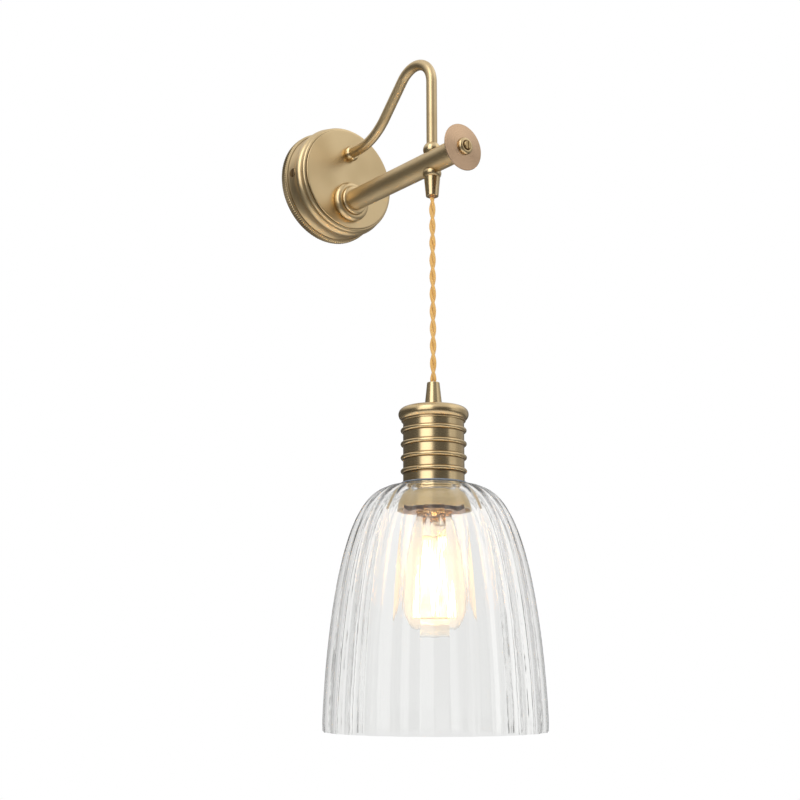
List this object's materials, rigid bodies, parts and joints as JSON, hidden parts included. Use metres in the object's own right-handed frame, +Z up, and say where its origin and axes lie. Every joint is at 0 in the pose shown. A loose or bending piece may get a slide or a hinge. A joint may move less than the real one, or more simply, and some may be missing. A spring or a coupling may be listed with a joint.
{
  "type": "hanging pendant wall sconce",
  "caption": "Brass wall light: a level arm and a bent tube carry a pendant lamp on a short cloth flex, with a ribbed lamp holder and a fluted glass bell shade.",
  "frame": {"origin": "middle of the backplate, on the wall", "axes": "+Y into the wall, -Y along the arm into the room, +Z up"},
  "size_m": [0.1508, 0.2084, 0.4938],
  "materials": {
    "satin_brass": "satin, aged",
    "plated_steel": "zinc plated",
    "moulded_nylon": "satin",
    "black_rubber": "matt",
    "flex_cloth": "braided",
    "core_sleeve": "satin",
    "earth_sleeve": "satin",
    "phenolic": "satin",
    "clear_gasket": "satin",
    "shade_glass": "clear, fluted",
    "bulb_glass": "clear",
    "bulb_brass": "bright",
    "contact_tin": "satin",
    "support_wire": "satin",
    "filament": "glowing"
  },
  "bodies": {
    "root": {"wall_plate": "plated_steel", "cable_grommet": "black_rubber", "backplate_cover": "satin_brass", "cover_screws": "satin_brass", "terminal_block": "moulded_nylon", "terminal_tubes": "bulb_brass", "terminal_screws": "plated_steel", "block_screws": "plated_steel", "earth_washer": "plated_steel", "earth_wire": "earth_sleeve", "earth_screw": "plated_steel", "arm_collar": "satin_brass", "arm_tube": "satin_brass", "arm_nipple": "satin_brass", "arm_washer": "plated_steel", "arm_nut": "satin_brass", "end_plug": "satin_brass", "end_disc": "satin_brass", "end_button": "satin_brass", "end_screw": "satin_brass", "gooseneck_boss": "satin_brass", "gooseneck_tube": "satin_brass", "gooseneck_nut": "satin_brass", "upper_bead": "satin_brass", "lower_bead": "satin_brass", "arm_cord_grip": "satin_brass", "gooseneck_flex": "flex_cloth", "core_wires": "core_sleeve"},
    "pendant_cord": {"cord": "flex_cloth"},
    "holder_grip": {"holder_cord_grip": "satin_brass", "holder_flex": "flex_cloth", "grip_nut": "satin_brass"},
    "lamp": {"holder_cap": "satin_brass", "holder_shell": "satin_brass", "lampholder_insulator": "phenolic", "lampholder_socket": "bulb_brass", "holder_cores": "core_sleeve", "centre_contact": "bulb_brass", "upper_gasket": "clear_gasket"},
    "shade": {"glass_shade": "shade_glass", "lower_gasket": "clear_gasket"},
    "ring": {"shade_ring": "satin_brass"},
    "bulb_carrier": {"bulb_contact": "contact_tin"},
    "bulb": {"bulb_insulator": "phenolic", "bulb_cap": "bulb_brass", "bulb_glass": "bulb_glass", "bulb_stem": "bulb_glass", "filament": "filament", "filament_hooks": "support_wire", "lead_wires": "support_wire"}
  },
  "joints": [
    {"name": "pendant_swing", "type": "hinge", "parent": "root", "child": "pendant_cord", "pos_m": [0, -0.133, -0.04963], "axis": [0, 1, 0], "range_deg": [-35, 35]},
    {"name": "lamp_tilt", "type": "hinge", "parent": "pendant_cord", "child": "holder_grip", "pos_m": [0, -0.133, -0.18447], "axis": [-1, 0, 0], "range_deg": [-13, 30]},
    {"name": "lamp_twist", "type": "hinge", "parent": "holder_grip", "child": "lamp", "pos_m": [0, -0.133, -0.2], "axis": [0, 0, 1], "range_deg": [-180, 180]},
    {"name": "shade_drop", "type": "slide", "parent": "lamp", "child": "shade", "axis": [0, 0, -1], "range_m": [0, 0.006]},
    {"name": "ring_turn", "type": "hinge", "parent": "shade", "child": "ring", "pos_m": [0, -0.133, -0.27], "axis": [0, 0, -1], "range_deg": [0, 720]},
    {"name": "bulb_drop", "type": "slide", "parent": "lamp", "child": "bulb_carrier", "axis": [0, 0, -1], "range_m": [0, 0.00907]},
    {"name": "bulb_turn", "type": "hinge", "parent": "bulb_carrier", "child": "bulb", "pos_m": [0, -0.133, -0.27], "axis": [0, 0, -1], "range_deg": [0, 900]}
  ],
  "couplings": [
    {"joint": "ring_turn", "follows": "shade_drop", "rad_per_m": 2094.4},
    {"joint": "bulb_turn", "follows": "bulb_drop", "rad_per_m": 1730.9}
  ]
}
